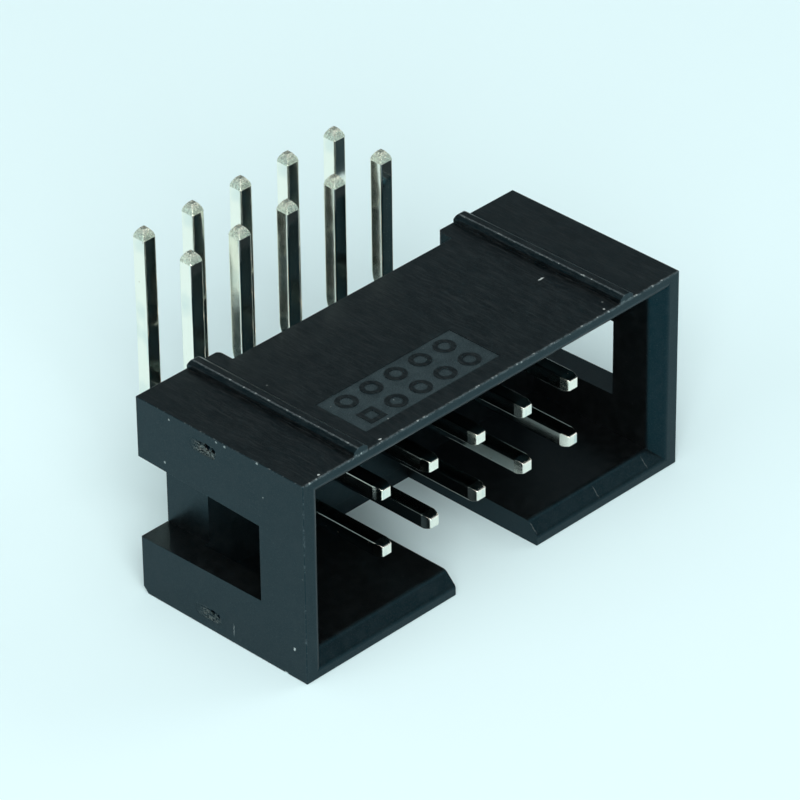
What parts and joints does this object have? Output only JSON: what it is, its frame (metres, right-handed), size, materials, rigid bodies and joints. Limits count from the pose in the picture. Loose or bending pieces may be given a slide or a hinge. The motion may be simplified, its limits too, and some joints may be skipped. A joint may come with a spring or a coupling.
{
  "type": "idc box header",
  "caption": "Right-angle box header for a ribbon cable socket, with a keyed mouth, end windows and rows of bent square pins.",
  "frame": {"origin": "middle of the footprint, on the surface that the header lies on", "axes": "+X along the pin rows, -Y out of the socket mouth, +Z the way the solder tails point"},
  "size_m": [0.0204, 0.0138, 0.0119],
  "materials": {
    "black_plastic": "satin moulded black, glass-filled",
    "plated_pin": "bright pale plating"
  },
  "bodies": {
    "root": {"housing": "black_plastic", "short_pin_1": "plated_pin", "short_pin_2": "plated_pin", "short_pin_3": "plated_pin", "short_pin_4": "plated_pin", "short_pin_5": "plated_pin", "long_pin_1": "plated_pin", "long_pin_2": "plated_pin", "long_pin_3": "plated_pin", "long_pin_4": "plated_pin", "long_pin_5": "plated_pin"}
  },
  "joints": []
}
